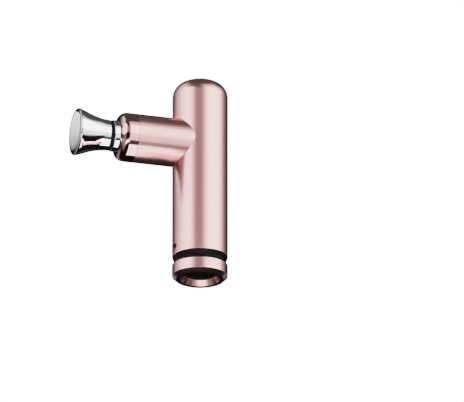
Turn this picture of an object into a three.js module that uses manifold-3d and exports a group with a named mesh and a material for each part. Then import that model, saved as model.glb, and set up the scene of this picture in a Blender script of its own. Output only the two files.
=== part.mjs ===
// Mini percussion massager: a domed handle tube with a short barrel let into its side near the top.
// A brushless motor in the dome turns a crank, and a connecting rod drives the piston that carries the
// massage head. Millimetres, +Z up along the handle, the barrel pointing along -Y.
import * as THREE from "three";
import { mergeVertices } from "three/addons/utils/BufferGeometryUtils.js";
import Module from "manifold-3d";

const wasm = await Module();
wasm.setup();

// Handle tube: deep-drawn shell, domed at the top and open at the bottom
const tubeRadius = 18;
const tubeWall = 1.2;
const tubeHeight = 137.1;
const domeCornerRadius = 10.7;
const domeCrownRadius = 39;
const edgeBreak = 0.25;

// Barrel: a sleeve saddled into the tube, with a round-nosed ring that carries the piston's seal
const barrelRadius = 15.9;
const barrelWall = 1.2;
const barrelReach = 56.4;
const noseLength = 10.8;
const noseFillet = 5.2;
const noseSpigot = 2.2;
const noseLip = 1.6;
const sealRadialDepth = 1.9;
const sealLength = 2.4;
const sealRecess = 0.6;

// Piston: an acetal plunger with a fork behind, and a chromed collar in front
const pistonStroke = 6;
const pistonTail = 6.3;
const wristPinSetback = 1;
const collarInset = 0.5;
const collarProud = 3.9;
const collarLength = 12.8;
const collarWall = 2.7;
const collarEdge = 0.5;
const bushWall = 3;
const housingWall = 2.2;

// Massage head: a trumpet that flares from its neck to a flat face, on a push-fit spigot
const headLength = 22.2;
const headNeckInset = 0.2;
const headFaceRadius = 15.4;
const headNeckStraight = 8.8;
const headFlareLength = 4.9;
const headFlareDrop = 1.2;
const headRimRadius = 0.9;
const neckRingLength = 2.4;
const neckRingRecess = 0.2;
const socketWall = 1.2;
const spigotLength = 15;
const studWall = 2.5;
const studLength = 15;
const gripRingSection = 1;
const gripRingLength = 1.6;
const grooveShare = 0.25;

// Crank and connecting rod
const rodLength = 24;
const rodThickness = 4;
const rodEyeWall = 2.1;
const rodPocketDepth = 1;
const rodRail = 1;
const wristPinRadius = 1.8;
const crankBearingRadius = 5;
const crankPinRadius = 2;
const crankPinHead = 1.5;
const crankPinShoulder = 0.4;
const crankBossHeight = 0.6;
const crankThickness = 4.5;
const crankTopGap = 2.3;
const shaftHoleShare = 1 / 3;
const counterweightSweep = THREE.MathUtils.degToRad(200);
const counterweightStep = THREE.MathUtils.degToRad(12);

// Mechanism casting, motor mount and motor
const cupWall = 2.6;
const cupFloor = 2;
const mountThickness = 2.5;
const shaftRadius = 1.5;
const shaftBearingRadius = 3.5;
const shaftBearingWidth = 3;
const bearingSeatWall = 1.6;
const bearingShoulder = 0.75;
const raceShare = 0.25;
const shieldDepthShare = 0.1;
const bellLength = 14.94;
const bellClearance = 1.3;
const bellWall = 1.2;
const bellPlate = 1.5;
const magnetThickness = 1.4;
const airGap = 0.35;
const motorHeadroom = 2.6;
const motorStandoff = 2.5;
const toothCount = 9;
const toothWidth = 2;
const toothTip = 0.8;
const toothTipShare = 0.76;
const yokeWall = 1.1;
const coilOverhang = 1.3;
const windowCount = 5;
const windowShare = 0.5;

// Screws
const screwRadius = 1;
const screwHeadRadius = 1.6;
const screwHeadHeight = 1.2;
const screwLength = 6;
const screwBossWall = 1.2;
const mountScrewAngles = [30, 150, 210, 330];

// Base: black trim ring, dished end cap, bezel and power button
const capHeight = 10.6;
const capChamferHeight = 1.2;
const capChamferInset = 1.15;
const capFillet = 2.2;
const dishMouthRadius = 12.6;
const dishThroatRadius = 10.7;
const dishDepth = 3.7;
const capShelfDepth = 7.2;
const capRimWall = 2.35;
const trimHeight = 4.7;
const trimWaistHeight = 1.6;
const bezelLip = 0.2;
const bezelRim = 0.9;
const bezelFloorDepth = 6.3;
const bezelDraft = 0.5;
const bezelFloor = 1.3;
const bezelWall = 2.3;
const bezelFlangeHeight = 1.3;
const buttonRadius = 3.5;
const buttonDepth = 2.1;
const buttonCrown = 0.35;
const buttonDishShares = [0.67, 0.33];
const buttonFlange = 1.5;
const buttonFlangeHeight = 0.7;
const buttonTravel = 0.5;
const switchHeight = 1.3;
const switchWidth = 4.5;
const switchBodyShare = 0.7;
const boardThickness = 1.2;
const plugWeb = 1.5;
const plugWall = 2;
const plugCollar = 1.9;

// Charging port, control board and battery
const portHeight = 20.3;
const portWidth = 8.94;
const portThickness = 3.2;
const portLength = 7.3;
const portShell = 0.35;
const portTongueWidth = 6.6;
const portTongueThickness = 0.7;
const portSlotGap = 0.25;
const portRecess = 0.7;
const chipHeight = 1.1;
const chipWidth = 5;
const carrierPlate = 2;
const carrierRim = 1.6;
const carrierRibWidth = 4;
const carrierClearance = 1.6;
const cellTopHeight = 1;
const cellTopRadius = 2.6;
const cellAngles = [-90, 30, 150];
const ribAngles = [-30, 210];
const postRadius = 2.1;
const cableRadius = 0.8;
const ribbonWidth = 3;
const ribbonThickness = 0.4;

// Fits
const seam = 0.1;
const fitGap = 0.3;
const runningGap = 0.1;
const overrun = 1;
const weldDistance = 1e-4;

// Facets of the round pieces, and steps of their arcs
const shellSides = 36;
const trimSides = 24;
const innerSides = 16;
const smallSides = 12;
const leadSides = 4;
const leadSteps = 20;
const arcSteps = 6;
const roughSteps = 3;
const edgeSteps = 2;

// Heights worked out from the top down: the dome holds the motor, and the crank sets the barrel's line
const crownDrop = Math.sqrt((domeCrownRadius - domeCornerRadius) ** 2 - (tubeRadius - domeCornerRadius) ** 2);
const shoulderHeight = tubeHeight - domeCrownRadius + crownDrop;
const bellTop = shoulderHeight - motorHeadroom;
const bellBottom = bellTop - bellLength;
const mountTop = bellBottom - motorStandoff;
const cupTop = mountTop - mountThickness;
const crankTop = cupTop - crankTopGap;
const crankBottom = crankTop - crankThickness;
const crankBossFace = crankBottom - crankBossHeight;
const crankPinTop = crankBossFace - fitGap;
const barrelHeight = crankPinTop - crankPinShoulder - rodThickness / 2;
const shaftEnd = crankBottom + crankThickness * shaftHoleShare;

// Places worked out from the sizes above
const tubeInner = tubeRadius - tubeWall;
const tubeBottom = capHeight + trimHeight;
const sleeveInner = barrelRadius - barrelWall;
const noseJoint = barrelReach - noseLength;
const noseHole = barrelRadius - noseFillet;
const sealSeat = noseHole + sealRadialDepth;
const housingRadius = sleeveInner - fitGap;
const boreRadius = housingRadius - housingWall;
const bushRadius = boreRadius - runningGap;
const pistonRadius = bushRadius - bushWall;
const housingFront = noseJoint - noseSpigot - fitGap;
const crankRadius = pistonStroke / 2;
const rodTilt = Math.asin(crankRadius / rodLength);
const wristReach = rodLength * Math.cos(rodTilt);
const collarRadius = noseHole - collarInset;
const neckRadius = collarRadius - collarWall - runningGap;
const collarReach = barrelReach + collarProud;
const collarBack = collarReach - collarLength;
const headBack = collarReach + neckRingLength;
const headReach = headBack + headLength;
const headNeckRadius = collarRadius - headNeckInset;
const studRadius = headNeckRadius - studWall - runningGap;
const socketRadius = neckRadius - socketWall;
const spigotRadius = socketRadius - 2 * runningGap;
const socketBottom = headBack - spigotLength - 2 * fitGap;
const smallEyeRadius = wristPinRadius + runningGap + rodEyeWall;
const bigEyeRadius = crankBearingRadius + runningGap + rodEyeWall;
const cupRadius = tubeInner - fitGap;
const chamberRadius = cupRadius - cupWall;
const cupBottom = barrelHeight - housingRadius;
const screwCircle = cupRadius - screwHeadRadius - fitGap;
const screwBossRadius = screwRadius + screwBossWall;
const crankDiscRadius = screwCircle - screwBossRadius - 2 * fitGap;
const bellRadius = tubeInner - bellClearance;
const bellInner = bellRadius - bellWall;
const bearingSeat = shaftBearingRadius + runningGap;
const mountBossRadius = bearingSeat + bearingSeatWall;
const statorRadius = bellInner - runningGap - magnetThickness - airGap;
const statorBottom = bellBottom + coilOverhang + fitGap;
const statorTop = bellTop - bellPlate - coilOverhang - 2 * fitGap;
const cableCentre = tubeInner - cableRadius - 2 * fitGap;
const boardTop = portHeight - portThickness / 2;
const boardBottom = boardTop - boardThickness;
const plugTop = boardBottom - fitGap;
const carrierBottom = portHeight + portThickness / 2 + carrierClearance;
const carrierTop = cupBottom - fitGap;
const carrierRadius = tubeInner - fitGap;
const cellRadius = (tubeInner - carrierRim) / (1 + 2 / Math.sqrt(3));
const cellCircle = (2 * cellRadius) / Math.sqrt(3) + runningGap;
const cellBottom = carrierBottom + carrierPlate + fitGap;
const cellTop = carrierTop - carrierPlate - cellTopHeight - fitGap;
const bezelRadius = dishThroatRadius - seam;
const bezelFlangeBottom = capShelfDepth + seam;
const bezelFlangeTop = bezelFlangeBottom + bezelFlangeHeight;
const plugBottom = bezelFlangeTop + fitGap;
const switchBottom = bezelFloorDepth + bezelFloor + fitGap + buttonFlangeHeight + buttonTravel + fitGap;
const buttonBoardBottom = switchBottom + switchHeight;
const buttonBoardTop = buttonBoardBottom + boardThickness;
const plugWebBottom = buttonBoardTop + fitGap;
const plugWebTop = plugWebBottom + plugWeb;
const capBore = tubeRadius - capChamferInset - capRimWall;
const plugPocket = capBore - fitGap - plugWall / 2;
const postCircle = plugPocket - screwHeadRadius - fitGap;
const plugNeck = tubeRadius - capChamferInset - plugCollar;
const trimBore = plugNeck + fitGap;

// Finishes
const finish = (color, roughness, metalness) =>
  new THREE.MeshStandardMaterial({ color, roughness, metalness });
const roseAnodised = finish(0xd9a5a6, 0.34, 1);
const rosePolished = finish(0xdba7a8, 0.14, 1);
const chromePlate = finish(0xe8e8ea, 0.05, 1);
const glossBlack = finish(0x0c0b0b, 0.15, 0);
const mattBlack = finish(0x161616, 0.6, 0);
const blackRubber = finish(0x111111, 0.8, 0);
const castAluminium = finish(0xb4b6b8, 0.5, 1);
const groundSteel = finish(0xb9bcc0, 0.25, 1);
const darkSteel = finish(0x50535a, 0.4, 1);
const copperWire = finish(0xb8693a, 0.35, 1);
const acetal = finish(0xe6e3da, 0.5, 0);
const boardGreen = finish(0x1d5a3a, 0.5, 0);
const cellSleeve = finish(0x2f6f9f, 0.4, 0);

const at = (radius, height) => new THREE.Vector2(radius, height);

// Points of an arc in the profile plane, both ends included.
function arc(centreRadius, centreHeight, radius, from, to, steps = arcSteps) {
  const points = [];
  for (let i = 0; i <= steps; i++) {
    const angle = from + ((to - from) * i) / steps;
    points.push(at(centreRadius + radius * Math.cos(angle), centreHeight + radius * Math.sin(angle)));
  }
  return points;
}

// A closed three.js geometry as a solid that can be joined and cut.
function solidOf(geometry) {
  geometry.deleteAttribute("normal");
  geometry.deleteAttribute("uv");
  const merged = mergeVertices(geometry, weldDistance);
  const corners = merged.index.array;
  const triangles = [];
  for (let i = 0; i < corners.length; i += 3) {
    const [a, b, c] = [corners[i], corners[i + 1], corners[i + 2]];
    if (a !== b && b !== c && c !== a) triangles.push(a, b, c);
  }
  return new wasm.Manifold(
    new wasm.Mesh({
      numProp: 3,
      vertProperties: merged.attributes.position.array,
      triVerts: new Uint32Array(triangles),
    }),
  );
}

// A profile of (radius, height) points turned round the Z axis.
function revolveGeometry(profile, sides) {
  const outline = THREE.ShapeUtils.area(profile) < 0 ? [...profile].reverse() : [...profile];
  outline.push(outline[0]);
  return new THREE.LatheGeometry(outline, sides).rotateX(Math.PI / 2);
}

const revolve = (profile, sides) => solidOf(revolveGeometry(profile, sides));

const ringProfile = (inner, outer, bottom, top) => [
  at(inner, bottom),
  at(outer, bottom),
  at(outer, top),
  at(inner, top),
];

const ring = (inner, outer, bottom, top, sides) => revolve(ringProfile(inner, outer, bottom, top), sides);
const rod = (radius, bottom, top, sides) => ring(0, radius, bottom, top, sides);

// The same round pieces turned from the handle's frame into the barrel's line.
function barrelRod(radius, back, front, sides) {
  const geometry = revolveGeometry(ringProfile(0, radius, back, front), sides);
  return solidOf(geometry.rotateX(Math.PI / 2).translate(0, 0, barrelHeight));
}

// A round rod that stands beside the axis.
function post(x, y, radius, bottom, top, sides = smallSides) {
  return solidOf(revolveGeometry(ringProfile(0, radius, bottom, top), sides).translate(x, y, 0));
}

function block(width, depth, height, x, y, z) {
  return solidOf(new THREE.BoxGeometry(width, depth, height).translate(x, y, z));
}

// A flat outline pushed up from a height.
function slab(shape, bottom, top, curveSegments = smallSides) {
  const geometry = new THREE.ExtrudeGeometry(shape, {
    depth: top - bottom,
    bevelEnabled: false,
    curveSegments,
  });
  return solidOf(geometry.translate(0, 0, bottom));
}

const join = (first, ...others) => others.reduce((whole, other) => whole.add(other), first);
const cut = (whole, ...tools) => tools.reduce((rest, tool) => rest.subtract(tool), whole);

function polar(radius, angle) {
  return [radius * Math.cos(angle), radius * Math.sin(angle)];
}

function addPiece(group, name, solid, material) {
  const { vertProperties, triVerts } = solid.getMesh();
  const geometry = new THREE.BufferGeometry();
  geometry.setAttribute("position", new THREE.BufferAttribute(vertProperties, 3));
  geometry.setIndex(new THREE.BufferAttribute(triVerts, 1));
  geometry.computeVertexNormals();
  const mesh = new THREE.Mesh(geometry, material);
  mesh.name = name;
  group.add(mesh);
}

// A rounded slot outline, wider than it is high.
function stadium(width, height) {
  const end = width / 2 - height / 2;
  const shape = new THREE.Shape();
  shape.absarc(end, 0, height / 2, -Math.PI / 2, Math.PI / 2, false);
  shape.absarc(-end, 0, height / 2, Math.PI / 2, (3 * Math.PI) / 2, false);
  return shape;
}

// A stadium pushed along -Y at the charging port's height, from one distance off the axis to another.
function portBar(width, height, from, to) {
  const geometry = new THREE.ExtrudeGeometry(stadium(width, height), {
    depth: to - from,
    bevelEnabled: false,
    curveSegments: roughSteps,
  });
  return solidOf(geometry.translate(0, 0, from).rotateX(Math.PI / 2).translate(0, 0, portHeight));
}

// The dome's profile from the shoulder to the axis: a corner arc that runs into a flatter crown.
function domeProfile(inset, steps) {
  const crownCentre = shoulderHeight - crownDrop;
  const cornerCentre = tubeRadius - domeCornerRadius;
  const joint = Math.atan2(shoulderHeight - crownCentre, cornerCentre);
  return [
    ...arc(cornerCentre, shoulderHeight, domeCornerRadius - inset, 0, joint, steps),
    ...arc(0, crownCentre, domeCrownRadius - inset, joint, Math.PI / 2, steps / roughSteps).slice(1),
  ];
}

function handleTube() {
  const shell = revolve(
    [
      at(tubeInner, tubeBottom),
      at(tubeRadius - edgeBreak, tubeBottom),
      at(tubeRadius, tubeBottom + edgeBreak),
      ...domeProfile(0, arcSteps),
      ...domeProfile(tubeWall, roughSteps).reverse(),
    ],
    shellSides,
  );
  const barrelHole = barrelRod(barrelRadius + seam, 0, tubeRadius + overrun, shellSides);
  const slot = portBar(
    portWidth + 2 * portSlotGap,
    portThickness + 2 * portSlotGap,
    tubeInner / 2,
    tubeRadius + overrun,
  );
  return cut(shell, barrelHole, slot);
}

// The barrel's pieces are modelled along +Z, which their group lays along -Y.
function barrelSleeve() {
  const bore = new THREE.CylinderGeometry(tubeInner, tubeInner, 2 * (barrelRadius + overrun), shellSides);
  return cut(ring(sleeveInner, barrelRadius, 0, noseJoint, shellSides), solidOf(bore));
}

function noseRing() {
  const spigot = sleeveInner - seam;
  return revolve(
    [
      at(sealSeat, noseJoint - noseSpigot),
      at(spigot, noseJoint - noseSpigot),
      at(spigot, noseJoint + seam),
      at(barrelRadius, noseJoint + seam),
      ...arc(noseHole, barrelReach - noseFillet, noseFillet, 0, Math.PI / 2),
      at(noseHole, barrelReach - noseLip),
      at(sealSeat, barrelReach - noseLip),
    ],
    shellSides,
  );
}

function noseSeal() {
  const front = barrelReach - noseLip - seam;
  return revolve(
    [
      at(collarRadius + runningGap, front - sealLength),
      at(sealSeat - seam, front - sealLength),
      at(sealSeat - seam, front),
      at(noseHole - seam, front),
      at(noseHole - seam, barrelReach - sealRecess),
      at(collarRadius + runningGap, barrelReach - sealRecess),
    ],
    shellSides,
  );
}

// One casting carries the mechanism: an upright cup round the crank, and an arm that holds the piston's bush.
function mechanismHousing() {
  const top = barrelHeight + housingRadius + overrun;
  const arm = cut(
    barrelRod(housingRadius, 0, housingFront, innerSides),
    rod(cupRadius + fitGap, cupTop, top, innerSides),
  );
  const bosses = mountScrewAngles.map((degrees) => {
    const [x, y] = polar(screwCircle, THREE.MathUtils.degToRad(degrees));
    return post(x, y, screwBossRadius, cupBottom, cupTop);
  });
  const pilots = mountScrewAngles.map((degrees) => {
    const [x, y] = polar(screwCircle, THREE.MathUtils.degToRad(degrees));
    return post(x, y, screwRadius + runningGap, mountTop - screwLength - fitGap, top);
  });
  const chamber = rod(chamberRadius, cupBottom + cupFloor, top, innerSides);
  const wallsAndBosses = join(cut(rod(cupRadius, cupBottom, cupTop, innerSides), chamber), ...bosses);
  const envelope = rod(cupRadius, cupBottom, cupTop, innerSides);
  const floor = rod(cupRadius, cupBottom, cupBottom + cupFloor, innerSides);
  const cup = join(wallsAndBosses.intersect(envelope), floor);
  const armOutside = cut(arm, rod(cupRadius - runningGap, cupBottom - overrun, cupTop, innerSides));
  return cut(
    join(cup, armOutside),
    barrelRod(boreRadius, 0, housingFront + overrun, innerSides),
    post(0, cableCentre, cableRadius + 2 * fitGap, cupBottom - overrun, cupTop + overrun),
    ...pilots,
  );
}

function guideBush() {
  const front = housingFront - fitGap;
  return ring(pistonRadius + runningGap, bushRadius, wristReach, front, innerSides);
}

function piston() {
  const back = wristReach - pistonTail;
  const body = revolve(
    [
      at(0, back),
      at(pistonRadius, back),
      at(pistonRadius, collarBack - fitGap),
      at(neckRadius, collarBack - fitGap),
      at(neckRadius, collarReach - fitGap),
      at(socketRadius, collarReach - fitGap),
      at(socketRadius, socketBottom),
      at(0, socketBottom),
    ],
    innerSides,
  );
  const slotFront = wristReach + smallEyeRadius + 2 * fitGap;
  const slotBack = back - overrun;
  const slot = block(
    2 * (pistonRadius + overrun),
    rodThickness + 2 * fitGap,
    slotFront - slotBack,
    0,
    0,
    (slotFront + slotBack) / 2,
  );
  const pinHole = wristCylinder(wristPinRadius + runningGap, 2 * (pistonRadius + overrun));
  return cut(body, slot, pinHole);
}

// A short cylinder across the piston, centred on the wrist pin.
function wristCylinder(radius, length) {
  return solidOf(new THREE.CylinderGeometry(radius, radius, length, smallSides).translate(0, 0, wristReach));
}

function pistonCollar() {
  const inner = collarRadius - collarWall;
  return revolve(
    [
      at(inner, collarBack),
      at(collarRadius - collarEdge, collarBack),
      at(collarRadius, collarBack + collarEdge),
      ...arc(collarRadius - collarEdge, collarReach - collarEdge, collarEdge, 0, Math.PI / 2, edgeSteps),
      at(inner, collarReach),
    ],
    shellSides,
  );
}

// The trumpet's outside follows one Bezier curve from the neck to the rim of the face.
function massageHead() {
  const rimStart = headReach - headRimRadius;
  const flare = new THREE.CubicBezierCurve(
    at(headNeckRadius, headBack),
    at(headNeckRadius, headBack + headNeckStraight),
    at(headFaceRadius - headFlareDrop, rimStart - headFlareLength),
    at(headFaceRadius, rimStart),
  ).getPoints(roughSteps * roughSteps);
  const hole = studRadius + runningGap;
  return revolve(
    [
      at(hole, headBack),
      ...flare,
      ...arc(headFaceRadius - headRimRadius, rimStart, headRimRadius, 0, Math.PI / 2, edgeSteps).slice(1),
      at(0, headReach),
      at(0, headBack + studLength + fitGap),
      at(hole, headBack + studLength + fitGap),
    ],
    shellSides,
  );
}

function neckRing() {
  const outer = headNeckRadius - neckRingRecess;
  return ring(spigotRadius + runningGap, outer, collarReach + seam, headBack - seam, trimSides);
}

function headSpigot() {
  const back = headBack - spigotLength;
  const groove = back + spigotLength * grooveShare;
  return revolve(
    [
      at(0, back),
      at(spigotRadius - gripRingSection / 2, back),
      at(spigotRadius, back + gripRingSection / 2),
      at(spigotRadius, groove),
      at(spigotRadius - gripRingSection, groove),
      at(spigotRadius - gripRingSection, groove + gripRingLength),
      at(spigotRadius, groove + gripRingLength),
      at(spigotRadius, headBack - seam),
      at(studRadius, headBack - seam),
      at(studRadius, headBack + studLength),
      at(0, headBack + studLength),
    ],
    innerSides,
  );
}

function gripRing() {
  const bottom = headBack - spigotLength + spigotLength * grooveShare + runningGap;
  const top = bottom + gripRingLength - 2 * runningGap;
  const inner = spigotRadius - gripRingSection + runningGap;
  return ring(inner, spigotRadius + runningGap, bottom, top, innerSides);
}

// The rod lies along +Y from its wrist-pin eye to its bearing eye, with a pocket in each flank.
function connectingRod() {
  const half = rodThickness / 2;
  const lean = Math.asin((bigEyeRadius - smallEyeRadius) / rodLength);
  const outline = new THREE.Shape();
  outline.absarc(0, 0, smallEyeRadius, Math.PI - lean, 2 * Math.PI + lean, false);
  outline.absarc(0, rodLength, bigEyeRadius, lean, Math.PI - lean, false);
  const pocketFrom = smallEyeRadius + rodRail;
  const pocketTo = rodLength - bigEyeRadius - rodRail;
  const pocketShape = new THREE.Shape();
  const pocketHalf = smallEyeRadius - rodRail;
  pocketShape.moveTo(-pocketHalf, pocketFrom);
  pocketShape.lineTo(pocketHalf, pocketFrom);
  pocketShape.lineTo(pocketHalf, pocketTo);
  pocketShape.lineTo(-pocketHalf, pocketTo);
  return cut(
    slab(outline, -half, half),
    post(0, 0, wristPinRadius + runningGap, -half - overrun, half + overrun),
    post(0, rodLength, crankBearingRadius + runningGap, -half - overrun, half + overrun, innerSides),
    slab(pocketShape, half - rodPocketDepth, half + overrun),
    slab(pocketShape, -half - overrun, -half + rodPocketDepth),
  );
}

// A ball bearing with a shield let in between its races.
function bearing(inner, outer, width) {
  const race = (outer - inner) * raceShare;
  const shield = width * shieldDepthShare;
  return revolve(
    [
      at(inner, 0),
      at(outer, 0),
      at(outer, width),
      at(outer - race, width),
      at(outer - race, width - shield),
      at(inner + race, width - shield),
      at(inner + race, width),
      at(inner, width),
    ],
    smallSides,
  );
}

function crankPin() {
  const half = rodThickness / 2;
  return revolve(
    [
      at(0, -half - fitGap - crankPinHead),
      at(crankPinRadius + crankPinHead, -half - fitGap - crankPinHead),
      at(crankPinRadius + crankPinHead, -half - fitGap),
      at(crankPinRadius, -half - fitGap),
      at(crankPinRadius, half + crankPinShoulder),
      at(0, half + crankPinShoulder),
    ],
    smallSides,
  );
}

// The crank is a hub with a boss for the pin on +X and a counterweight sector on -X.
function crankDisc() {
  const lobe = crankPinRadius + crankPinHead + crankRadius;
  const open = Math.PI - counterweightSweep / 2;
  const outline = new THREE.Shape();
  outline.absarc(0, 0, crankDiscRadius, open, 2 * Math.PI - open, false);
  outline.absarc(0, 0, lobe, counterweightStep - open, open - counterweightStep, false);
  const hub = rod(shaftRadius + rodRail, crankTop, cupTop - fitGap, smallSides);
  const boss = post(crankRadius, 0, crankPinRadius + rodRail, crankBossFace, crankBottom);
  const shaftHole = rod(shaftRadius + runningGap, shaftEnd, cupTop + overrun, smallSides);
  return cut(join(slab(outline, crankBottom, crankTop), hub, boss), shaftHole);
}

function motorShaft() {
  return rod(shaftRadius, shaftEnd + fitGap, bellTop, smallSides);
}

function motorMount() {
  const bossTop = statorTop;
  const body = revolve(
    [
      at(bearingSeat, cupTop),
      at(cupRadius, cupTop),
      at(cupRadius, mountTop),
      at(mountBossRadius, mountTop),
      at(mountBossRadius, bossTop),
      at(bearingSeat, bossTop),
      at(bearingSeat, bossTop - shaftBearingWidth),
      at(bearingSeat - bearingShoulder, bossTop - shaftBearingWidth),
      at(bearingSeat - bearingShoulder, cupTop + shaftBearingWidth),
      at(bearingSeat, cupTop + shaftBearingWidth),
    ],
    innerSides,
  );
  const holes = mountScrewAngles.map((degrees) => {
    const [x, y] = polar(screwCircle, THREE.MathUtils.degToRad(degrees));
    return post(x, y, screwRadius + runningGap, cupTop - overrun, mountTop + overrun);
  });
  const notch = block(
    2 * (cableRadius + 2 * fitGap),
    2 * (tubeRadius - cableCentre + 3 * cableRadius + fitGap),
    mountThickness + 2 * overrun,
    0,
    tubeRadius,
    cupTop + mountThickness / 2,
  );
  return cut(body, notch, ...holes);
}

// Nine T-shaped teeth on a yoke.
function statorCore() {
  const yoke = mountBossRadius + runningGap + yokeWall;
  const tipInner = statorRadius - toothTip;
  const pitch = (2 * Math.PI) / toothCount;
  const tipAngle = (pitch * toothTipShare) / 2;
  const neckAtYoke = Math.asin(toothWidth / 2 / yoke);
  const neckAtTip = Math.asin(toothWidth / 2 / tipInner);
  const points = [];
  for (let tooth = 0; tooth < toothCount; tooth++) {
    const middle = pitch * tooth;
    points.push(polar(yoke, middle - neckAtYoke));
    points.push(polar(tipInner, middle - neckAtTip));
    points.push(polar(tipInner, middle - tipAngle));
    points.push(polar(statorRadius, middle - tipAngle));
    points.push(polar(statorRadius, middle));
    points.push(polar(statorRadius, middle + tipAngle));
    points.push(polar(tipInner, middle + tipAngle));
    points.push(polar(tipInner, middle + neckAtTip));
    points.push(polar(yoke, middle + neckAtYoke));
  }
  const outline = new THREE.Shape(points.map(([x, y]) => at(x, y)));
  const bore = rod(mountBossRadius + runningGap, statorBottom - overrun, statorTop + overrun, innerSides);
  return cut(slab(outline, statorBottom, statorTop), bore);
}

// A coil round each tooth's neck, joined by the ring of their tails.
function statorCoils() {
  const yoke = mountBossRadius + runningGap + yokeWall;
  const inner = yoke + runningGap;
  const width = 2 * inner * Math.sin(Math.PI / toothCount) - fitGap;
  const outer = Math.sqrt((statorRadius - toothTip - runningGap) ** 2 - (width / 2) ** 2);
  const length = outer - inner;
  const bottom = statorBottom - coilOverhang;
  const height = statorTop + coilOverhang - bottom;
  const tails = ring(
    mountBossRadius + runningGap,
    outer - length / 2,
    bottom,
    statorBottom - runningGap,
    innerSides,
  );
  const coils = [];
  for (let tooth = 0; tooth < toothCount; tooth++) {
    const angle = (2 * Math.PI * tooth) / toothCount;
    const middle = (inner + outer) / 2;
    const place = (geometry) =>
      solidOf(geometry.translate(middle, 0, bottom + height / 2).rotateZ(angle));
    const bobbin = place(new THREE.BoxGeometry(length, width, height));
    const neck = place(
      new THREE.BoxGeometry(
        length + overrun,
        toothWidth + 2 * runningGap,
        statorTop - statorBottom + 2 * runningGap,
      ),
    );
    coils.push(cut(bobbin, neck));
  }
  return join(tails, ...coils);
}

function motorBell() {
  const hub = shaftRadius + runningGap + yokeWall;
  const plateBottom = bellTop - bellPlate;
  const can = revolve(
    [
      at(bellInner, bellBottom),
      at(bellRadius, bellBottom),
      at(bellRadius, bellTop - bellWall),
      at(bellRadius - bellWall, bellTop),
      at(shaftRadius + runningGap, bellTop),
      at(shaftRadius + runningGap, statorTop + fitGap),
      at(hub, statorTop + fitGap),
      at(hub, plateBottom),
      at(bellInner, plateBottom),
    ],
    innerSides,
  );
  const windowRadius = ((bellInner - hub) * windowShare) / 2;
  const windows = [];
  for (let i = 0; i < windowCount; i++) {
    const [x, y] = polar((bellInner + hub) / 2, (2 * Math.PI * i) / windowCount);
    windows.push(post(x, y, windowRadius, plateBottom - overrun, bellTop + overrun));
  }
  return cut(can, ...windows);
}

function magnetRing() {
  const outer = bellInner - runningGap;
  return ring(outer - magnetThickness, outer, statorBottom, statorTop, innerSides);
}

// A pan-head screw standing on the motor mount, with its shank down.
function screw(x, y, seat, direction) {
  const head = direction * screwHeadHeight;
  const shank = -direction * screwLength;
  return join(
    post(x, y, screwHeadRadius, Math.min(seat, seat + head), Math.max(seat, seat + head)),
    post(x, y, screwRadius, Math.min(seat, seat + shank), Math.max(seat, seat + shank)),
  );
}

function endCap() {
  const rim = capHeight - capChamferHeight;
  return revolve(
    [
      at(dishMouthRadius, 0),
      ...arc(tubeRadius - capFillet, capFillet, capFillet, -Math.PI / 2, 0, roughSteps + 1),
      at(tubeRadius, rim),
      at(tubeRadius - capChamferInset, capHeight),
      at(capBore, capHeight),
      at(capBore, capShelfDepth),
      at(dishThroatRadius, capShelfDepth),
      at(dishThroatRadius, dishDepth),
    ],
    shellSides,
  );
}

function trimRing() {
  const waist = tubeRadius - capChamferInset;
  return revolve(
    [
      at(trimBore, capHeight + seam),
      at(waist, capHeight + seam),
      at(waist, capHeight + trimWaistHeight),
      at(tubeRadius - edgeBreak / 2, tubeBottom - edgeBreak),
      at(tubeRadius - edgeBreak, tubeBottom - seam),
      at(trimBore, tubeBottom - seam),
    ],
    shellSides,
  );
}

function buttonBezel() {
  const lip = dishDepth + bezelLip;
  const mouth = bezelRadius - bezelRim;
  return revolve(
    [
      ...arc(bezelRadius - bezelRim / 2, lip + bezelRim / 2, bezelRim / 2, Math.PI, 2 * Math.PI, roughSteps),
      at(bezelRadius, bezelFlangeBottom),
      at(capBore - fitGap, bezelFlangeBottom),
      at(capBore - fitGap, bezelFlangeTop),
      at(bezelRadius - bezelWall, bezelFlangeTop),
      at(bezelRadius - bezelWall, bezelFloorDepth + bezelFloor),
      at(buttonRadius + fitGap, bezelFloorDepth + bezelFloor),
      at(buttonRadius + fitGap, bezelFloorDepth),
      at(mouth - bezelDraft, bezelFloorDepth),
    ],
    trimSides,
  );
}

function powerButton() {
  const flangeBottom = bezelFloorDepth + bezelFloor + fitGap;
  const edge = 2 * buttonCrown;
  const [dishRadiusShare, dishRiseShare] = buttonDishShares;
  return revolve(
    [
      at(0, buttonDepth),
      at(buttonRadius * dishRadiusShare, buttonDepth + buttonCrown * dishRiseShare),
      at(buttonRadius - edge / 2, buttonDepth + buttonCrown),
      at(buttonRadius, buttonDepth + buttonCrown + edge / 2),
      at(buttonRadius, flangeBottom),
      at(buttonRadius + buttonFlange, flangeBottom),
      at(buttonRadius + buttonFlange, flangeBottom + buttonFlangeHeight),
      at(0, flangeBottom + buttonFlangeHeight),
    ],
    trimSides,
  );
}

function tactSwitch() {
  const body = switchHeight * switchBodyShare;
  return join(
    block(switchWidth, switchWidth, body, 0, 0, buttonBoardBottom - body / 2),
    rod(switchWidth / 4, switchBottom, buttonBoardBottom - body / 2, smallSides),
  );
}

function buttonBoard() {
  return rod(postCircle - screwHeadRadius - fitGap, buttonBoardBottom, buttonBoardTop, innerSides);
}

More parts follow.
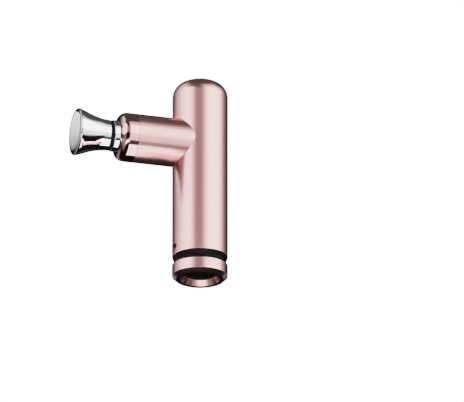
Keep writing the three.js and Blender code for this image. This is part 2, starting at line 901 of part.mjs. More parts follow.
// The plug clamps the bezel in the cap, carries the trim ring and closes the tube's mouth.
function basePlug() {
  const spigot = capBore - fitGap;
  const body = revolve(
    [
      at(plugPocket, plugBottom),
      at(spigot, plugBottom),
      at(spigot, capHeight + seam),
      at(plugNeck, capHeight + seam),
      at(plugNeck, tubeBottom + seam),
      at(cupRadius, tubeBottom + seam),
      at(cupRadius, plugTop),
      at(cupRadius - plugWall, plugTop),
      at(cupRadius - plugWall, plugWebTop),
      at(ribbonWidth, plugWebTop),
      at(ribbonWidth, plugWebBottom),
      at(plugPocket, plugWebBottom),
    ],
    innerSides,
  );
  const holes = [-1, 1].map((side) =>
    post(side * postCircle, 0, screwRadius + runningGap, plugWebBottom - overrun, plugWebTop + overrun),
  );
  return cut(body, ...holes);
}

function controlBoard() {
  const radius = cupRadius - fitGap;
  const board = rod(radius, boardBottom, boardTop, innerSides);
  const chips = [
    block(chipWidth, chipWidth, chipHeight, -chipWidth, chipWidth, boardTop + chipHeight / 2),
    block(chipWidth / 2, chipWidth, chipHeight, chipWidth, chipWidth, boardTop + chipHeight / 2),
    block(chipWidth, chipWidth / 2, chipHeight, 0, chipWidth * 2, boardTop + chipHeight / 2),
  ];
  const notches = [-1, 1].map((side) =>
    post(side * postCircle, 0, postRadius + fitGap, boardBottom - overrun, boardTop + overrun),
  );
  return cut(join(board, ...chips), ...notches);
}

function chargePort() {
  const front = Math.sqrt(tubeRadius ** 2 - (portWidth / 2) ** 2) - portRecess;
  const back = front - portLength;
  const backWall = back + 2 * portShell;
  const shell = cut(
    portBar(portWidth, portThickness, back, front),
    portBar(portWidth - 2 * portShell, portThickness - 2 * portShell, backWall, front + overrun),
  );
  const tongueFront = front - portRecess;
  const tongue = block(
    portTongueWidth,
    tongueFront - back,
    portTongueThickness,
    0,
    -(tongueFront + back) / 2,
    portHeight,
  );
  return join(shell, tongue);
}

// Two end plates held apart by ribs that stand between the cells.
function batteryCarrier() {
  const plates = [
    rod(carrierRadius, carrierBottom, carrierBottom + carrierPlate, innerSides),
    rod(carrierRadius, carrierTop - carrierPlate, carrierTop, innerSides),
  ];
  const height = carrierTop - carrierBottom;
  const ribOuter = carrierRadius - carrierRim / 2;
  const ribs = ribAngles.map((degrees) => {
    const geometry = new THREE.BoxGeometry(ribOuter - cellCircle, carrierRibWidth, height);
    geometry.translate((ribOuter + cellCircle) / 2, 0, carrierBottom + height / 2);
    return solidOf(geometry.rotateZ(THREE.MathUtils.degToRad(degrees)));
  });
  const postTop = carrierBottom + carrierPlate / 2;
  const posts = [-1, 1].map((side) => post(side * postCircle, 0, postRadius, plugWebTop + fitGap, postTop));
  const pilots = [-1, 1].map((side) =>
    post(side * postCircle, 0, screwRadius + runningGap, plugWebTop, plugWebBottom + screwLength + fitGap),
  );
  const nests = cellAngles.map((degrees) => {
    const [x, y] = polar(cellCircle, THREE.MathUtils.degToRad(degrees));
    return post(x, y, cellRadius + fitGap, cellBottom - fitGap, carrierTop - carrierPlate, innerSides);
  });
  const notch = block(
    2 * (cableRadius + 2 * fitGap),
    2 * (tubeRadius - cableCentre + cableRadius + fitGap),
    height + 2 * overrun,
    0,
    tubeRadius,
    (carrierTop + carrierBottom) / 2,
  );
  return cut(join(...plates, ...ribs, ...posts), notch, ...nests, ...pilots);
}

function batteryCell(degrees) {
  const [x, y] = polar(cellCircle, THREE.MathUtils.degToRad(degrees));
  const geometry = revolveGeometry(
    [
      at(0, cellBottom),
      at(cellRadius, cellBottom),
      at(cellRadius, cellTop - cellTopHeight / 2),
      at(cellRadius - cellTopHeight / 2, cellTop),
      at(cellTopRadius, cellTop),
      at(cellTopRadius, cellTop + cellTopHeight),
      at(0, cellTop + cellTopHeight),
    ],
    innerSides,
  );
  return solidOf(geometry.translate(x, y, 0));
}

// The motor's lead climbs from the control board in the channel behind the cells and turns in under the bell.
function motorLead() {
  const level = mountTop + cableRadius + fitGap;
  const bend = 2 * cableRadius;
  const route = new THREE.CurvePath();
  route.add(
    new THREE.LineCurve3(
      new THREE.Vector3(0, cableCentre, boardTop + fitGap),
      new THREE.Vector3(0, cableCentre, level - bend),
    ),
  );
  route.add(
    new THREE.QuadraticBezierCurve3(
      new THREE.Vector3(0, cableCentre, level - bend),
      new THREE.Vector3(0, cableCentre, level),
      new THREE.Vector3(0, cableCentre - bend, level),
    ),
  );
  route.add(
    new THREE.LineCurve3(
      new THREE.Vector3(0, cableCentre - bend, level),
      new THREE.Vector3(0, (statorRadius + mountBossRadius) / 2, level),
    ),
  );
  const section = new THREE.Shape().absarc(0, 0, cableRadius, 0, 2 * Math.PI, false);
  return solidOf(
    new THREE.ExtrudeGeometry(section, {
      steps: leadSteps,
      extrudePath: route,
      bevelEnabled: false,
      curveSegments: leadSides,
    }),
  );
}

function buttonRibbon() {
  const bottom = buttonBoardTop + fitGap;
  const top = boardBottom - fitGap;
  return block(ribbonWidth, ribbonThickness, top - bottom, 0, 0, (top + bottom) / 2);
}

const massager = new THREE.Group();
massager.position.y = (headReach - tubeRadius) / 2;

const handle = new THREE.Group();
massager.add(handle);
addPiece(handle, "handle_tube", handleTube(), roseAnodised);
addPiece(handle, "mechanism_housing", mechanismHousing(), castAluminium);
addPiece(handle, "battery_carrier", batteryCarrier(), mattBlack);
cellAngles.forEach((degrees, i) =>
  addPiece(handle, `battery_cell_${i + 1}`, batteryCell(degrees), cellSleeve),
);
addPiece(handle, "control_board", controlBoard(), boardGreen);
addPiece(handle, "charge_port", chargePort(), groundSteel);
addPiece(handle, "motor_lead", motorLead(), blackRubber);

const base = new THREE.Group();
massager.add(base);
addPiece(base, "trim_ring", trimRing(), glossBlack);
addPiece(base, "end_cap", endCap(), roseAnodised);
addPiece(base, "button_bezel", buttonBezel(), glossBlack);
addPiece(base, "power_button", powerButton(), mattBlack);
addPiece(base, "tact_switch", tactSwitch(), mattBlack);
addPiece(base, "button_board", buttonBoard(), boardGreen);
addPiece(base, "button_ribbon", buttonRibbon(), mattBlack);
addPiece(base, "base_plug", basePlug(), mattBlack);
[-1, 1].forEach((side, i) =>
  addPiece(base, `plug_screw_${i + 1}`, screw(side * postCircle, 0, plugWebBottom, -1), darkSteel),
);

const barrel = new THREE.Group();
barrel.position.z = barrelHeight;
barrel.rotation.x = Math.PI / 2;
massager.add(barrel);
addPiece(barrel, "barrel_sleeve", barrelSleeve(), roseAnodised);
addPiece(barrel, "nose_ring", noseRing(), rosePolished);
addPiece(barrel, "nose_seal", noseSeal(), blackRubber);
addPiece(barrel, "guide_bush", guideBush(), acetal);
addPiece(barrel, "piston", piston(), acetal);
const wristPin = wristCylinder(wristPinRadius, 2 * (pistonRadius - wristPinSetback));
addPiece(barrel, "wrist_pin", wristPin, groundSteel);
addPiece(barrel, "piston_collar", pistonCollar(), chromePlate);

const head = new THREE.Group();
barrel.add(head);
addPiece(head, "massage_head", massageHead(), chromePlate);
addPiece(head, "neck_ring", neckRing(), blackRubber);
addPiece(head, "head_spigot", headSpigot(), acetal);
addPiece(head, "grip_ring", gripRing(), blackRubber);

const linkage = new THREE.Group();
linkage.position.set(0, -wristReach, barrelHeight);
linkage.rotation.z = -rodTilt;
massager.add(linkage);
addPiece(linkage, "connecting_rod", connectingRod(), groundSteel);

const crankEnd = new THREE.Group();
crankEnd.position.set(crankRadius, 0, barrelHeight);
massager.add(crankEnd);
const crankBearing = new THREE.Group();
crankBearing.position.z = -rodThickness / 2;
crankEnd.add(crankBearing);
const rodBearing = bearing(crankPinRadius + runningGap, crankBearingRadius, rodThickness);
addPiece(crankBearing, "crank_bearing", rodBearing, groundSteel);
addPiece(crankEnd, "crank_pin", crankPin(), darkSteel);

const motor = new THREE.Group();
massager.add(motor);
addPiece(motor, "crank_disc", crankDisc(), darkSteel);
addPiece(motor, "motor_shaft", motorShaft(), groundSteel);
addPiece(motor, "motor_bell", motorBell(), darkSteel);
addPiece(motor, "magnet_ring", magnetRing(), darkSteel);
addPiece(motor, "motor_mount", motorMount(), castAluminium);
addPiece(motor, "stator_core", statorCore(), groundSteel);
addPiece(motor, "stator_coils", statorCoils(), copperWire);
mountScrewAngles.forEach((degrees, i) => {
  const [x, y] = polar(screwCircle, THREE.MathUtils.degToRad(degrees));
  addPiece(motor, `mount_screw_${i + 1}`, screw(x, y, mountTop, 1), darkSteel);
});
[cupTop, statorTop - shaftBearingWidth].forEach((height, i) => {
  const seat = new THREE.Group();
  seat.position.z = height;
  motor.add(seat);
  const solid = bearing(shaftRadius + runningGap, shaftBearingRadius, shaftBearingWidth);
  addPiece(seat, `shaft_bearing_${i + 1}`, solid, groundSteel);
});

export default massager;
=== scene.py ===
"""A pocket percussion massager: rose anodised tube and barrel, chromed trumpet head, dished end cap."""

import math

import bpy
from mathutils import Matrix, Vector


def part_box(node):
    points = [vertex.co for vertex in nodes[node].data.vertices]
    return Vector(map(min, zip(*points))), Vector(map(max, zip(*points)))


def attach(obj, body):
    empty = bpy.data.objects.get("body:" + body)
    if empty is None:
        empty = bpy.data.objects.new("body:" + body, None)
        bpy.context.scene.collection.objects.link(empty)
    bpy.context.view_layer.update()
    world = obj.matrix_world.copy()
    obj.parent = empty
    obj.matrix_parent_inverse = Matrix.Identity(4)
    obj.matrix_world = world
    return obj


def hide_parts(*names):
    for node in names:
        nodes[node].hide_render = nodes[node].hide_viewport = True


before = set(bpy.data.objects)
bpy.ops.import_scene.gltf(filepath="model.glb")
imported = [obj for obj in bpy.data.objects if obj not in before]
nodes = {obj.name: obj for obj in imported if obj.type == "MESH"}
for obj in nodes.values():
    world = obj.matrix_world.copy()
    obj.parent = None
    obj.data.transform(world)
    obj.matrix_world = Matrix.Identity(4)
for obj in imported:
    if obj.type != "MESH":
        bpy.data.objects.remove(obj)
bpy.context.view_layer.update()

# Camera
# It looks up at the massager from below the base, through a long lens, so nothing tapers with distance. The
# handle's axis stands at a named column of the 464 x 402 picture, and its foot at a named row.
mm = 0.001
image_width, image_height = 464, 402
view_azimuth, view_elevation = math.radians(72.7), math.radians(-20.7)
picture_scale = 0.648 * mm
handle_column, foot_row = 200.03, 279.45
lens, sensor = 500, 36

tube_low, tube_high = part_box("handle_tube")
tube_radius = (tube_high.x - tube_low.x) / 2
axis_y = tube_high.y - tube_radius
tube_top = tube_high.z

toward_camera = Vector(
    (
        math.sin(view_azimuth) * math.cos(view_elevation),
        -math.cos(view_azimuth) * math.cos(view_elevation),
        math.sin(view_elevation),
    )
)
screen_right = Vector((math.cos(view_azimuth), math.sin(view_azimuth), 0))
aim_height = (foot_row - image_height / 2) * picture_scale / math.cos(view_elevation)
aim = Vector((0, axis_y, aim_height)) + screen_right * (image_width / 2 - handle_column) * picture_scale
camera_distance = image_width * picture_scale * lens / sensor

bpy.ops.object.select_all(action="DESELECT")
bpy.ops.object.camera_add(location=aim + toward_camera * camera_distance)
camera = bpy.context.object
camera.name = "camera"
camera.rotation_euler = toward_camera.to_track_quat("Z", "Y").to_euler()
camera.data.lens = lens
camera.data.sensor_width = sensor
camera.data.clip_end = 2 * camera_distance
bpy.context.scene.camera = camera

# Film
# Bright reflections roll off towards white as they do on film, and the dark ones keep their colour. Each pair
# is a light and the share of full white that it gives.
brightest = 2.6
film_curve = [(0.1, 0.1), (0.3, 0.3), (0.45, 0.44), (0.9, 0.67), (1.4, 0.78), (2.0, 0.87)]

view_settings = bpy.context.scene.view_settings
view_settings.view_transform = "Standard"
view_settings.use_curve_mapping = True
film = view_settings.curve_mapping
film.white_level = (brightest, brightest, brightest)
for light, share in film_curve:
    film.curves[3].points.new(light / brightest, share)
film.update()

# Studio light
# White paper fills the background, and only the camera sees it. The massager reflects a dark room with soft
# boxes, given as soft-edged patches of sky: bearings to the right of the camera's and heights above level,
# both in degrees, and radiance.
room_light = 0.006
side_softness, edge_softness = 15, 5
sky_patches = {
    "right box": ((22, 96), (0, 42), 2.35),
    "right box, side": ((96, 122), (0, 42), 0.5),
    "right box, low": ((20, 82), (-20, 0), 1.35),
    "right box, lowest": ((14, 48), (-31, -20), 1.3),
    "right box, high": ((8, 92), (42, 58), 0.9),
    "left box": ((-86, -31), (6, 42), 2.0),
    "left box, near side": ((-112, -86), (6, 42), 0.55),
    "left box, far side": ((-132, -86), (6, 42), 0.45),
    "left box, high": ((-126, -66), (42, 60), 1.0),
    "glow between them": ((-50, 20), (6, 36), 0.4),
    "glow under right box": ((20, 75), (-55, -36), 0.08),
    "card below, near": ((-46, 19), (-41, -28), 3.2),
    "fill, left": ((-88, -40), (-46, 4), 0.36),
    "fill, right": ((120, 160), (-20, -6), 0.3),
    "fill, back": ((-165, -115), (-14, 2), 0.4),
    "ceiling": ((-220, 220), (48, 100), 0.07),
}


def add(tree, kind, inputs=None, **settings):
    """Adds a shader node with its settings, and with inputs that are values or other nodes' outputs."""
    made = tree.nodes.new("ShaderNode" + kind)
    for name, value in settings.items():
        setattr(made, name, value)
    for socket, value in (inputs or {}).items():
        if isinstance(value, bpy.types.NodeSocket):
            tree.links.new(value, made.inputs[socket])
        else:
            made.inputs[socket].default_value = value
    return made


world = bpy.data.worlds.new("studio")
bpy.context.scene.world = world
world.use_nodes = True
sky = world.node_tree
sky.nodes.clear()
ray = add(sky, "TexCoord").outputs["Generated"]
forward = Vector((math.sin(view_azimuth), -math.cos(view_azimuth), 0))
up = Vector((0, 0, 1))


def reckon(operation, first, second=0.0):
    """A sum in the sky's nodes."""
    return add(sky, "Math", {0: first, 1: second}, operation=operation).outputs[0]


def ray_along(axis):
    """How far a ray goes along an axis."""
    return add(sky, "VectorMath", {0: ray, 1: axis}, operation="DOT_PRODUCT").outputs["Value"]


def between(angle, low, high, softness):
    """1 where an angle lies between two bounds and 0 outside them, with soft edges."""
    edges = []
    for edge, before, after in ((low, 0, 1), (high, 1, 0)):
        limits = {"From Min": math.radians(edge - softness), "From Max": math.radians(edge + softness)}
        steps = {"Value": angle, "To Min": before, "To Max": after, **limits}
        edges.append(add(sky, "MapRange", steps, interpolation_type="SMOOTHSTEP").outputs["Result"])
    return reckon("MULTIPLY", *edges)


bearing = reckon("ARCTAN2", ray_along(screen_right), ray_along(forward))
height = reckon("ARCSINE", ray_along(up))
white = (1, 1, 1, 1)
total = room_light
for bearings, heights, radiance in sky_patches.values():
    across, upright = between(bearing, *bearings, side_softness), between(height, *heights, edge_softness)
    total = reckon("ADD", total, reckon("MULTIPLY", reckon("MULTIPLY", across, upright), radiance))
studio = add(sky, "Background", {"Color": white, "Strength": total})
paper = add(sky, "Background", {"Color": white, "Strength": brightest})
seen = add(sky, "LightPath").outputs["Is Camera Ray"]
either = add(sky, "MixShader", {0: seen, 1: studio.outputs[0], 2: paper.outputs[0]})
add(sky, "OutputWorld", {"Surface": either.outputs[0]})


def card(name, centre, facing, width, tall, radiance):
    """A small lit card of a known brightness, close to the massager, that the camera doesn't see."""
    bpy.ops.object.light_add(type="AREA", location=centre)
    made = bpy.context.object
    made.name = name
    made.rotation_euler = facing.to_track_quat("-Z", "Y").to_euler()
    made.data.shape = "RECTANGLE"
    made.data.size = width
    made.data.size_y = tall
    made.data.energy = radiance * width * tall * math.pi
    made.visible_camera = False


# Two low cards face up, one under the barrel and one beside the tube: middle and size in mm, and radiance.
low_cards = {
    "card_under_barrel": ((24, 1.5, 6), (98, 31), 2.2),
    "card_beside_tube": ((47, 29.5, 6), (52, 25), 2.7),
}
for name, (middle, (width, tall), radiance) in low_cards.items():
    card(name, Vector(middle) * mm, up, width * mm, tall * mm, radiance)

# The head's face mirrors a card beside it, which darkens towards its foot.
head_low, head_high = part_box("massage_head")
face_centre = Vector((0, head_low.y, (head_low.z + head_high.z) / 2))
face_mirror = Vector((-toward_camera.x, toward_camera.y, -toward_camera.z))
card_rise = (up - up.dot(face_mirror) * face_mirror).normalized()
card_side = card_rise.cross(face_mirror)
card_distance, card_width = 110 * mm, 38 * mm
card_lift, card_shift = 4 * mm, 5 * mm
strip, strips = 3 * mm, 13
dimmest, lightest = 0.12, 1.13
for row in range(strips):
    rise = strip * (row - strips / 2) + card_lift
    middle = face_centre + face_mirror * card_distance + card_rise * rise + card_side * card_shift
    radiance = dimmest + (lightest - dimmest) * math.sin(math.pi / 2 * row / (strips - 1))
    card(f"card_by_face_{row + 1}", middle, -face_mirror, card_width, strip, radiance)

# Floor
# Pale paper under the base. It shows only from above, so that it never hides the massager from a low camera,
# and it gives no light back.
floor_size = 6
floor_colour, floor_roughness = (0.92, 0.92, 0.91, 1), 0.9
floor_glow = 0.55

bpy.ops.object.select_all(action="DESELECT")
bpy.ops.mesh.primitive_plane_add(size=floor_size, location=(0, axis_y, 0))
floor = bpy.context.object
floor.name = "floor"
floor.visible_glossy = False
floor.visible_diffuse = False
floor.visible_shadow = False
floor_paper = bpy.data.materials.new("floor_paper")
floor_paper.use_nodes = True
tree = floor_paper.node_tree
shade = tree.nodes["Principled BSDF"]
shade.inputs["Base Color"].default_value = floor_colour
shade.inputs["Roughness"].default_value = floor_roughness
shade.inputs["Emission Color"].default_value = white
shade.inputs["Emission Strength"].default_value = floor_glow
under = add(tree, "NewGeometry").outputs["Backfacing"]
clear = add(tree, "BsdfTransparent").outputs[0]
either = add(tree, "MixShader", {0: under, 1: shade.outputs[0], 2: clear})
tree.links.new(either.outputs[0], tree.nodes["Material Output"].inputs["Surface"])
floor.data.materials.append(floor_paper)

# Mechanism housing and motor mount
# Aluminium castings, grey and a little rough, that hold the crank, the piston's bush and the motor. Four
# blackened screws hold the mount down on the housing.
wear_low, wear_high = 0.3, 0.7
cloud_share = 0.05


def new_group(name):
    """A node group for a surface: a place on the piece goes in, and colour, roughness and height come out."""
    group = bpy.data.node_groups.new(name, "ShaderNodeTree")
    given = {"Vector": "Vector", "Scale": "Float", "Dark": "Color", "Light": "Color"}
    given |= {"Smooth": "Float", "Rough": "Float"}
    for socket, kind in given.items():
        group.interface.new_socket(socket, in_out="INPUT", socket_type="NodeSocket" + kind)
    for socket, kind in {"Colour": "Color", "Roughness": "Float", "Height": "Float"}.items():
        group.interface.new_socket(socket, in_out="OUTPUT", socket_type="NodeSocket" + kind)
    return group, group.nodes.new("NodeGroupInput").outputs, group.nodes.new("NodeGroupOutput").inputs


def give_back(group, given, back, shade, wear, relief):
    """Ends a surface group: a mask for its colour, one for its roughness and its relief."""
    shades = {"Factor": shade, 6: given["Dark"], 7: given["Light"]}
    group.links.new(add(group, "Mix", shades, data_type="RGBA").outputs[2], back["Colour"])
    limits = {"From Min": wear_low, "From Max": wear_high}
    limits |= {"To Min": given["Smooth"], "To Max": given["Rough"]}
    group.links.new(add(group, "MapRange", {"Value": wear, **limits}).outputs["Result"], back["Roughness"])
    group.links.new(relief, back["Height"])


grain, given, back = new_group("grain")
fine = add(grain, "TexNoise", {"Vector": given["Vector"], "Scale": given["Scale"], "Detail": 3}).outputs[0]
wide = add(grain, "Math", {0: given["Scale"], 1: cloud_share}, operation="MULTIPLY").outputs[0]
cloud = add(grain, "TexNoise", {"Vector": given["Vector"], "Scale": wide, "Detail": 1}).outputs[0]
mottle = add(grain, "Math", {0: fine, 1: cloud, 2: cloud}, operation="MULTIPLY_ADD").outputs[0]
give_back(grain, given, back, mottle, cloud, fine)


def look(name, pattern, scale, dark, light, smooth, rough, relief, metallic=0, specular=0.5, about=None):
    """A material with colour, roughness and relief from a surface group, on the piece's own coordinates.

    The pattern's scale is per metre, and about is the line that turning marks go round.
    """
    made = bpy.data.materials.new(name)
    made.use_nodes = True
    tree = made.node_tree
    shader = tree.nodes["Principled BSDF"]
    shader.inputs["Metallic"].default_value = metallic
    shader.inputs["Specular IOR Level"].default_value = specular
    place = add(tree, "TexCoord").outputs["Object"]
    if about:
        place = add(tree, "Mapping", {"Vector": place, "Location": about[0], "Rotation": about[1]}).outputs[0]
    values = {"Vector": place, "Scale": scale, "Dark": (*dark, 1), "Light": (*light, 1)}
    surface = add(tree, "Group", {**values, "Smooth": smooth, "Rough": rough}, node_tree=pattern)
    tree.links.new(surface.outputs["Colour"], shader.inputs["Base Color"])
    tree.links.new(surface.outputs["Roughness"], shader.inputs["Roughness"])
    bump = add(tree, "Bump", {"Height": surface.outputs["Height"], "Strength": 1, "Distance": relief})
    tree.links.new(bump.outputs["Normal"], shader.inputs["Normal"])
    return made


def dress(material, *names):
    """Gives a material to the pieces that stay as they are in the frame."""
    for name in names:
        nodes[name].data.materials.clear()
        nodes[name].data.materials.append(material)


um = 0.001 * mm
cast_alloy = look(
    "cast_alloy", grain, scale=2500, dark=(0.48, 0.49, 0.5), light=(0.72, 0.73, 0.74),
    smooth=0.35, rough=0.55, relief=12 * um, metallic=1,
)
dark_steel = look(
    "dark_steel", grain, scale=3000, dark=(0.07, 0.07, 0.08), light=(0.16, 0.16, 0.18),
    smooth=0.28, rough=0.45, relief=5 * um, metallic=1,
)
dress(cast_alloy, "mechanism_housing", "motor_mount")
dress(dark_steel, "mount_screw_1", "mount_screw_2", "mount_screw_3", "mount_screw_4")

# Shaft, crank and bearings
# Ground steel that turns: the motor's shaft, the ball bearings and the wrist pin. The crank and its headed
# pin are turned from steel and blackened.
patch_scale = 90

turning, given, back = new_group("turning")
split = add(turning, "SeparateXYZ", {0: given["Vector"]}).outputs
flat = add(turning, "CombineXYZ", {0: split[0], 1: split[1]}).outputs[0]
out = add(turning, "VectorMath", {0: flat}, operation="LENGTH").outputs["Value"]
along = add(turning, "Math", {0: split[2], 1: out}, operation="SUBTRACT").outputs[0]
marks = {"W": along, "Scale": given["Scale"], "Detail": 2}
line = add(turning, "TexNoise", marks, noise_dimensions="1D").outputs[0]
cloud = add(turning, "TexNoise", {"Vector": given["Vector"], "Scale": patch_scale, "Detail": 3}).outputs[0]
half = add(turning, "Math", {0: cloud, 1: 0.5}, operation="MULTIPLY").outputs[0]
wear = add(turning, "Math", {0: line, 1: 0.5, 2: half}, operation="MULTIPLY_ADD").outputs[0]
give_back(turning, given, back, line, wear, line)

on_handle = ((0, -axis_y, 0), (0, 0, 0))
ground_steel = look(
    "ground_steel", turning, scale=5000, dark=(0.5, 0.51, 0.53), light=(0.78, 0.79, 0.8),
    smooth=0.1, rough=0.25, relief=2 * um, metallic=1, about=on_handle,
)
dress(ground_steel, "motor_shaft", "shaft_bearing_1", "shaft_bearing_2", "crank_bearing", "wrist_pin")
dress(dark_steel, "crank_disc", "crank_pin")

# Connecting rod, piston and bush
# The rod is cast like the housing, with an eye for the wrist pin and one for the crank's bearing. The piston
# and the bush that it slides in are turned from white acetal.
acetal = look(
    "acetal", turning, scale=4000, dark=(0.78, 0.77, 0.73), light=(0.9, 0.89, 0.86),
    smooth=0.28, rough=0.42, relief=2 * um, about=on_handle,
)
dress(cast_alloy, "connecting_rod")
dress(acetal, "piston", "guide_bush")

# Motor
# Enamelled copper wire wound side by side on a stack of laminations, inside a blackened bell with magnets.
# A rubber-sheathed lead runs from it down to the board.
copper_wire = look(
    "copper_wire", turning, scale=2600, dark=(0.4, 0.16, 0.06), light=(0.86, 0.5, 0.28),
    smooth=0.2, rough=0.35, relief=60 * um, metallic=1, about=on_handle,
)
black_rubber = look(
    "black_rubber", grain, scale=2200, dark=(0.004, 0.004, 0.004), light=(0.01, 0.01, 0.01),
    smooth=0.45, rough=0.65, relief=4 * um, specular=0.1,
)
dress(dark_steel, "motor_bell", "magnet_ring")
dress(ground_steel, "stator_core")
dress(copper_wire, "stator_coils")
dress(black_rubber, "motor_lead")

# Battery pack
# Three lithium cells in blue shrink sleeves stand between the end plates and ribs of a moulded black carrier,
# which fits in the tube above the control board.
cell_sleeve = look(
    "cell_sleeve", grain, scale=900, dark=(0.03, 0.16, 0.32), light=(0.07, 0.3, 0.52),
    smooth=0.22, rough=0.4, relief=20 * um,
)
satin_black = look(
    "satin_black", grain, scale=4500, dark=(0.006, 0.006, 0.006), light=(0.016, 0.016, 0.016),
    smooth=0.3, rough=0.42, relief=3 * um,
)
dress(cell_sleeve, "battery_cell_1", "battery_cell_2", "battery_cell_3")
dress(satin_black, "battery_carrier")

# Circuit boards, switch and ribbon
# Green solder mask over copper tracks. The chips stand on the control board, and the button's switch on a
# small board of its own, joined to it by a flat black cable.
stain_scale = 400
track_width, track_stagger = 0.08, 0.2

tracks, given, back = new_group("tracks")
bricks = {"Vector": given["Vector"], "Scale": given["Scale"]}
bricks |= {"Mortar Size": track_width, "Bias": track_stagger}
lines = add(tracks, "TexBrick", bricks).outputs["Fac"]
cloud = add(tracks, "TexNoise", {"Vector": given["Vector"], "Scale": stain_scale, "Detail": 2}).outputs[0]
give_back(tracks, given, back, lines, cloud, lines)
circuit_board = look(
    "circuit_board", tracks, scale=900, dark=(0.015, 0.12, 0.05), light=(0.05, 0.3, 0.14),
    smooth=0.25, rough=0.4, relief=15 * um,
)
dress(circuit_board, "control_board", "button_board")
dress(satin_black, "tact_switch", "button_ribbon")

# Base plug
# A plug moulded in black plastic closes the tube's mouth, and carries the cap and the trim ring. Two
# blackened screws hold it to the battery carrier.
dress(satin_black, "base_plug")
dress(dark_steel, "plug_screw_1", "plug_screw_2")

# Handle tube
# The grip and the body of the massager: an aluminium shell deep-drawn to a domed top, bead-blasted and
# anodised rose. A round hole takes the barrel, and a slot near the foot opens on the charging port.
tube_wall = 1.2 * mm
tube_foot = tube_low.z
dome_corner = 10.7 * mm
dome_crown = 39 * mm
apex_radius = 0.6 * mm
foot_chamfer = 0.12 * mm
tube_edge = 0.08 * mm
tube_sides = 192
row_gap = 1.25 * mm
barrel_low, barrel_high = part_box("barrel_sleeve")
barrel_radius = (barrel_high.x - barrel_low.x) / 2
barrel_height = (barrel_low.z + barrel_high.z) / 2
port_low, port_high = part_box("charge_port")
port_width, port_tall = port_high.x - port_low.x, port_high.z - port_low.z
port_height = (port_low.z + port_high.z) / 2
slot_margin = 0.5 * mm
# How far the slot's painted shade keeps from the tube's inner and outer skins.
slot_shade_margin = 0.1 * mm
seam = 0.1 * mm
weld = 0.001 * mm
overrun = 1 * mm


def arc(centre_radius, centre_height, radius, start, end, steps):
    """(radius, height) points on an arc from one angle to another, in degrees, both ends included."""
    points = []
    for step in range(steps + 1):
        angle = math.radians(start + (end - start) * step / steps)
        points.append((centre_radius + radius * math.cos(angle), centre_height + radius * math.sin(angle)))
    return points


def turned(name, profile, sides, filled=False):
    """A round piece about Z: a ring walks the (radius, height) profile, drawn out and scaled at each step."""
    bpy.ops.object.select_all(action="DESELECT")
    radius, height = profile[0]
    fill = "TRIFAN" if filled else "NOTHING"
    bpy.ops.mesh.primitive_circle_add(vertices=sides, radius=radius, fill_type=fill, location=(0, 0, height))
    piece = bpy.context.object
    piece.name = piece.data.name = name
    bpy.ops.object.transform_apply(location=True, rotation=True, scale=True)
    bpy.ops.object.mode_set(mode="EDIT")
    bpy.ops.mesh.select_all(action="SELECT")
    for next_radius, next_height in profile[1:]:
        rise = {"value": (0, 0, next_height - height)}
        if filled:
            bpy.ops.mesh.extrude_region_move(TRANSFORM_OT_translate=rise)
        else:
            bpy.ops.mesh.extrude_edges_move(TRANSFORM_OT_translate=rise)
        share = next_radius / radius
        bpy.ops.transform.resize(value=(share, share, 1), center_override=(0, 0, next_height))
        radius, height = next_radius, next_height
    bpy.ops.mesh.select_all(action="SELECT")
    bpy.ops.mesh.remove_doubles(threshold=weld)
    bpy.ops.mesh.normals_make_consistent(inside=False)
    bpy.ops.object.mode_set(mode="OBJECT")
    return piece


def make_active(piece):
    """Selects one piece and nothing else."""
    bpy.ops.object.select_all(action="DESELECT")
    piece.select_set(True)
    bpy.context.view_layer.objects.active = piece


def carve(piece, cutter):
    """Cuts one mesh out of another, and drops the cutter."""
    make_active(piece)
    bpy.ops.object.modifier_add(type="BOOLEAN")
    modifier = piece.modifiers[-1]
    modifier.object = cutter
    modifier.operation = "DIFFERENCE"
    modifier.solver = "EXACT"
    bpy.ops.object.modifier_apply(modifier=modifier.name)
    bpy.data.objects.remove(cutter)


def ease_edges(piece, width, segments=3, angle=40):
    """Rounds the sharp edges and smooths the rest, with the flat faces kept flat."""
    make_active(piece)
    bpy.ops.object.modifier_add(type="BEVEL")
    bevel = piece.modifiers[-1]
    bevel.limit_method = "ANGLE"
    bevel.angle_limit = math.radians(angle)
    bevel.width = width
    bevel.segments = segments
    bpy.ops.object.modifier_apply(modifier=bevel.name)
    bpy.ops.object.shade_smooth_by_angle(angle=math.radians(angle))
    bpy.ops.object.modifier_add(type="WEIGHTED_NORMAL")
    weighted = piece.modifiers[-1]
    weighted.keep_sharp = True
    bpy.ops.object.modifier_apply(modifier=weighted.name)


def lay_along_barrel(piece, at_height=barrel_height):
    """Turns a piece made about Z into the barrel's line, its top towards the head."""
    make_active(piece)
    piece.rotation_euler = (math.pi / 2, 0, 0)
    piece.location = (0, axis_y, at_height)
    bpy.ops.object.transform_apply(location=True, rotation=True, scale=True)


def stand_on_axis(piece):
    """Moves a piece made about Z onto the handle's axis."""
    make_active(piece)
    piece.location = (0, axis_y, 0)
    bpy.ops.object.transform_apply(location=True, rotation=True, scale=True)


def stadium(name, width, tall, depth, middle, sides=48):
    """A bar about Z with straight sides and half-round ends, its middle at a distance from the axis."""
    bpy.ops.object.select_all(action="DESELECT")
    bpy.ops.mesh.primitive_cylinder_add(vertices=sides, radius=tall / 2, depth=depth, end_fill_type="NGON")
    made = bpy.context.object
    made.name = made.data.name = name
    for side in (-1, 1):
        bpy.ops.object.mode_set(mode="EDIT")
        bpy.ops.mesh.select_all(action="DESELECT")
        bpy.ops.object.mode_set(mode="OBJECT")
        for vertex in made.data.vertices:
            vertex.select = side * vertex.co.x > weld
        bpy.ops.object.mode_set(mode="EDIT")
        bpy.ops.transform.translate(value=(side * (width - tall) / 2, 0, 0))
        bpy.ops.object.mode_set(mode="OBJECT")
    made.location.z = middle
    bpy.ops.object.transform_apply(location=True)
    return made


